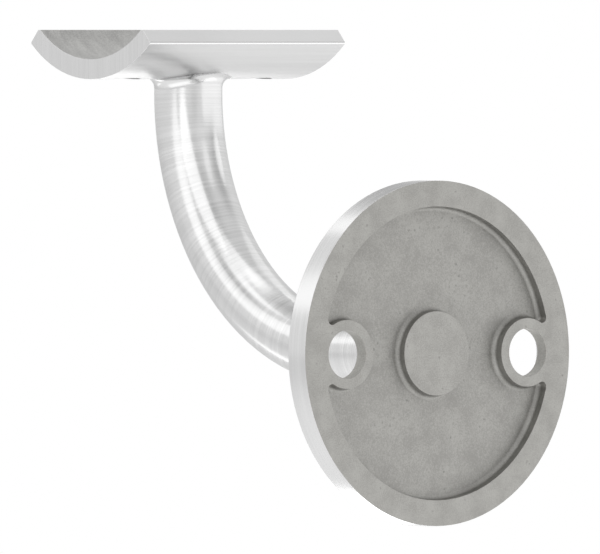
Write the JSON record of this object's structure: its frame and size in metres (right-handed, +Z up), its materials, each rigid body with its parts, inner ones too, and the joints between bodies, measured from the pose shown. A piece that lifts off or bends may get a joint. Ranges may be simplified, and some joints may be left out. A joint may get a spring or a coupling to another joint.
{
  "type": "handrail bracket",
  "caption": "Cast wall bracket for a round handrail: a round wall plate, a stem bent through a quarter circle and a curved saddle under the rail.",
  "frame": {"origin": "centre of the wall plate's back face, midway between the two wall holes", "axes": "+Y is the back face's outward normal and points into the wall, so the bracket stands out along -Y; +Z is up, towards the rail; +X runs along the wall, as the rail and both pairs of holes do"},
  "size_m": [0.06, 0.0844, 0.0862],
  "materials": {
    "stainless_casting": "brushed on the stem, the rim and the saddle's outside; bare casting skin on the plate's back and in the saddle"
  },
  "bodies": {
    "root": {"bracket": "stainless_casting"}
  },
  "joints": []
}
